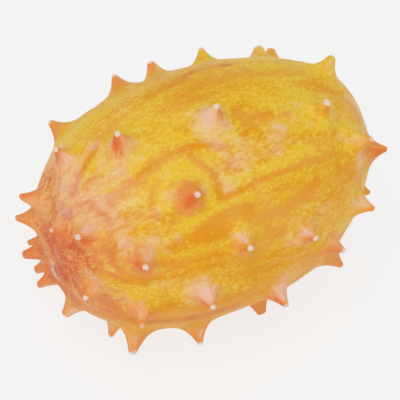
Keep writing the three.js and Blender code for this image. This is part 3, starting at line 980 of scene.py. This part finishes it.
def rind_wax():
    """The rind's material: stipple over orange, waxy film with painted sheen, red stalk end, horns' marks,
    then the scar.
    """
    material = bpy.data.materials.new("rind_wax")
    material.use_nodes = True
    tree = material.node_tree
    shader = tree.nodes["Principled BSDF"]

    def mark(name):
        """The mark of that name at the skin's points."""
        return shader_node(tree, "Attribute", attribute_name=name).outputs["Fac"]

    def place(name):
        """The place of that name at the skin's points."""
        return shader_node(tree, "Attribute", attribute_name=name).outputs["Vector"]

    def sum_of(value, *weighted):
        """The value plus each other value times its factor."""
        for factor, other in weighted:
            inputs = {0: other, 1: factor, 2: value}
            value = shader_node(tree, "Math", inputs, operation="MULTIPLY_ADD").outputs[0]
        return value

    def product(first, second):
        """One value times the other."""
        return shader_node(tree, "Math", {0: first, 1: second}, operation="MULTIPLY").outputs[0]

    def off_middle(value):
        """How far a noise is from its middle, which is one half, on either side."""
        return shader_node(tree, "Math", {0: sum_of(-0.5, (1.0, value))}, operation="ABSOLUTE").outputs[0]

    def step_of(value, low, high):
        """Rises smoothly from 0 at low to 1 at high, or falls if low is above high."""
        inputs = {"Value": value, "From Min": low, "From Max": high}
        made = shader_node(tree, "MapRange", inputs, interpolation_type="SMOOTHSTEP")
        return made.outputs[0]

    def noise(where, stretch, size, detail, roughness=0.55, distortion=0.0):
        """Noise of that size in millimetres, at places multiplied by the stretch."""
        inputs = {0: where, 1: stretch}
        stretched = shader_node(tree, "VectorMath", inputs, operation="MULTIPLY").outputs[0]
        inputs = {"Vector": stretched, "Scale": 1 / size, "Detail": detail,
                  "Roughness": roughness, "Distortion": distortion}
        return shader_node(tree, "TexNoise", inputs).outputs["Fac"]

    def blend(share, under, over):
        """That share of the over colour, and the rest of the under colour."""
        made = shader_node(tree, "Mix", data_type="RGBA")
        for socket, value in ((made.inputs[0], share), (made.inputs[6], under), (made.inputs[7], over)):
            if isinstance(value, bpy.types.NodeSocket):
                tree.links.new(value, socket)
            else:
                socket.default_value = value
        return made.outputs[2]

    def cover(under, over, value, low, high, most):
        """Blends over the under colour by the value's step from low to high, times the most."""
        return blend(product(step_of(value, low, high), most), under, over)

    grain_place = place("grain")
    skin_place = shader_node(tree, "TexCoord").outputs["Object"]
    in_millimetres = (1 / MM, 1 / MM, 1 / MM)
    bands = noise(grain_place, (0.3, 1, 1), size=8.0, detail=2)
    strand = noise(grain_place, (0.22, 1, 1), size=9.0, detail=2, roughness=0.4)
    film = noise(grain_place, (0.7, 1, 1), size=6.0, detail=5, roughness=0.65)
    streaks = noise(grain_place, (0.35, 1, 1), size=2.4, detail=4, roughness=0.6)
    fibres = noise(grain_place, (0.45, 1, 1), size=1.8, detail=4, roughness=0.65)
    granules = noise(grain_place, (0.75, 1, 1), size=1.15, detail=2, roughness=0.5)
    threads = noise(grain_place, (0.3, 1, 1), size=0.7, detail=3, roughness=0.6, distortion=0.6)
    net = noise(skin_place, in_millimetres, size=1.3, detail=3, roughness=0.6, distortion=0.8)
    specks = noise(skin_place, in_millimetres, size=0.9, detail=2, roughness=0.6)
    pores = noise(skin_place, in_millimetres, size=0.45, detail=1, roughness=0.6)
    flutes = noise(place("spokes"), (1, 1, 1), size=0.7, detail=3, roughness=0.7)

    # Yellow stipple over orange, with paler flecks. The veins at the back are thin strands of noise.
    texture = sum_of(-2.5, (0.8, bands), (1.6, streaks), (2.0, granules), (0.6, specks))
    back_vein = product(step_of(off_middle(strand), 0.05, 0.005), mark("back"))
    vein = sum_of(mark("vein"), (0.9, back_vein))
    calm = sum_of(1.0, (-0.6, vein), (-0.35, mark("shade")))
    density = sum_of(0.2, (1.0, product(texture, calm)), (0.1, mark("ring")), (0.42, mark("gold")),
                     (-1.0, vein), (-0.45, mark("shade")), (-0.15, mark("warmth")))
    stipple = step_of(density, -0.7, 0.8)
    pale_ground = product(step_of(bands, 0.4, 0.6), sum_of(1.0, (-0.6, mark("rich"))))
    ground = blend(pale_ground, DEEP_ORANGE, ORANGE)
    colour = blend(stipple, ground, YELLOW)
    fleck = sum_of(-1.0, (1.0, granules), (1.0, specks), (0.12, mark("gold")), (-0.15, vein),
                   (-0.1, mark("rich")))
    colour = cover(colour, PALE_YELLOW, fleck, -0.1, 0.4, most=0.34)
    # Waxy film with painted sheen, pink over orange and cream over stipple, thickest near the stalk end.
    wax_and_sheen = sum_of(-1.92, (1.8, film), (1.1, streaks), (0.8, granules), (1.3, mark("wax_and_sheen")),
                 (-0.7, mark("rich")), (-0.6, vein), (-0.4, mark("gold")), (0.5, mark("warmth")))
    colour = cover(colour, blend(stipple, WAX_SHEEN_PINK, YELLOW_WAX), wax_and_sheen, -0.3, 1.1, most=0.88)
    # The reddening stalk end, salmon and then red.
    salmon = sum_of(-3.2, (2.8, fibres), (1.0, threads), (1.4, net), (0.7, mark("warmth")),
                    (0.8, mark("red")), (0.9, vein))
    salmon = product(step_of(salmon, -0.5, 0.8), step_of(mark("warmth"), 0.0, 0.4))
    colour = blend(product(salmon, 0.85), colour, SALMON)
    red = sum_of(-3.1, (1.6, fibres), (3.2, net), (1.2, mark("red")), (0.2, mark("warmth")))
    red = product(step_of(red, -0.1, 1.0), step_of(mark("warmth"), 0.1, 0.6))
    colour = blend(product(red, 0.85), colour, STALK_RED)
    # Darker brown streaks along the rind, then a fine net of cream and pink threads at the stalk end.
    dark_streak = product(mark("dark_streak"), sum_of(-0.9, (3.0, streaks)))
    colour = cover(colour, STREAK_BROWN, dark_streak, 0.05, 0.9, most=0.7)
    thin = product(step_of(off_middle(threads), 0.035, 0.0), step_of(mark("warmth"), 0.15, 1.0))
    colour = blend(product(thin, 0.6), colour, YELLOW_WAX)
    pink = product(mark("pink"), sum_of(0.0, (2.0, threads)))
    colour = cover(colour, LILAC, pink, 0.1, 1.0, most=0.55)
    # Horns: fluted orange flanks, a pale side of bloom with a painted sheen and red blush, then the white
    # bead at the tip.
    fluting = sum_of(-1.6, (4.0, flutes), (1.2, specks))
    colour = cover(colour, FLANK_ORANGE, product(mark("flush"), fluting), 0.05, 0.95, most=0.85)
    pale = blend(step_of(mark("bloom_and_sheen"), 0.2, 0.9), YELLOW_WAX, BLOOM_SHEEN_PINK)
    colour = cover(colour, pale, product(mark("bloom_and_sheen"), fluting), 0.1, 1.1, most=0.85)
    colour = cover(colour, TIP_RED, product(mark("blush"), fluting), 0.1, 1.1, most=0.85)
    bead = sum_of(-0.2, (0.4, granules), (1.0, mark("bead")))
    colour = cover(colour, BEAD_WHITE, bead, 0.2, 0.7, most=0.9)
    # The corky scar, and then fine pores all over.
    colour = blend(product(mark("dish"), 0.5), colour, SCAR_BROWN)
    cork = product(mark("cork"), sum_of(-0.2, (2.4, specks)))
    colour = cover(colour, CORK, cork, 0.15, 0.8, most=0.9)
    colour = cover(colour, PORE_BROWN, pores, 0.6, 0.3, most=0.17)
    tree.links.new(colour, shader.inputs["Base Color"])
    roughness = sum_of(0.34, (0.14, film), (0.1, granules), (0.2, mark("warmth")))
    tree.links.new(roughness, shader.inputs["Roughness"])
    shader.inputs["Specular IOR Level"].default_value = 0.14
    shader.inputs["Subsurface Weight"].default_value = 0.1
    shader.inputs["Subsurface Radius"].default_value = (1.0, 0.5, 0.2)
    shader.inputs["Subsurface Scale"].default_value = 2 * MM
    height = sum_of(0.0, (0.6, granules), (0.4, streaks))
    bump = shader_node(tree, "Bump", {"Height": height, "Strength": 0.3, "Distance": 0.4 * MM})
    tree.links.new(bump.outputs[0], shader.inputs["Normal"])
    return material


skin_mesh.materials.append(rind_wax())


# ---------------------------------------------------------------------------------------------------
# Floor and lamps. A pale table lit from below as well as above, so that the fruit has hardly a
# shadow, with a big soft lamp above and left of the camera and a bright room all round.
# ---------------------------------------------------------------------------------------------------
FLOOR_HALF = 3.0
FLOOR_GREY = (0.15, 0.15, 0.15, 1)
FLOOR_GLOW = 0.77
ROOM_GLOW = 0.67
WHITE = (1, 1, 1, 1)
floor_mesh = bpy.data.meshes.new("light_table")
floor_mesh.from_pydata(
    [(-FLOOR_HALF, -FLOOR_HALF, 0), (FLOOR_HALF, -FLOOR_HALF, 0),
     (FLOOR_HALF, FLOOR_HALF, 0), (-FLOOR_HALF, FLOOR_HALF, 0)], [], [(0, 1, 2, 3)])
floor = bpy.data.objects.new("light_table", floor_mesh)
bpy.context.scene.collection.objects.link(floor)
glow = bpy.data.materials.new("light_table")
glow.use_nodes = True
glow_shader = glow.node_tree.nodes["Principled BSDF"]
glow_shader.inputs["Base Color"].default_value = FLOOR_GREY
glow_shader.inputs["Roughness"].default_value = 0.9
glow_shader.inputs["Specular IOR Level"].default_value = 0.1
glow_shader.inputs["Emission Color"].default_value = WHITE
glow_shader.inputs["Emission Strength"].default_value = FLOOR_GLOW
floor_mesh.materials.append(glow)

room = bpy.data.worlds.new("bright_room")
room.use_nodes = True
room.node_tree.nodes["Background"].inputs["Color"].default_value = WHITE
room.node_tree.nodes["Background"].inputs["Strength"].default_value = ROOM_GLOW
bpy.context.scene.world = room


def soft_lamp(name, azimuth, elevation, distance, size, power):
    """A square lamp that faces the fruit's middle: degrees, millimetres and watts."""
    back, right, up = camera_directions(math.radians(azimuth), math.radians(elevation))
    light = bpy.data.lights.new(name, "AREA")
    light.shape = "SQUARE"
    light.size = size * MM
    light.energy = power
    lamp = bpy.data.objects.new(name, light)
    bpy.context.scene.collection.objects.link(lamp)
    look_along(lamp, FRUIT_MIDDLE + distance * back, back, right, up)


soft_lamp("key_lamp", azimuth=-45, elevation=58, distance=900, size=600, power=2.2)
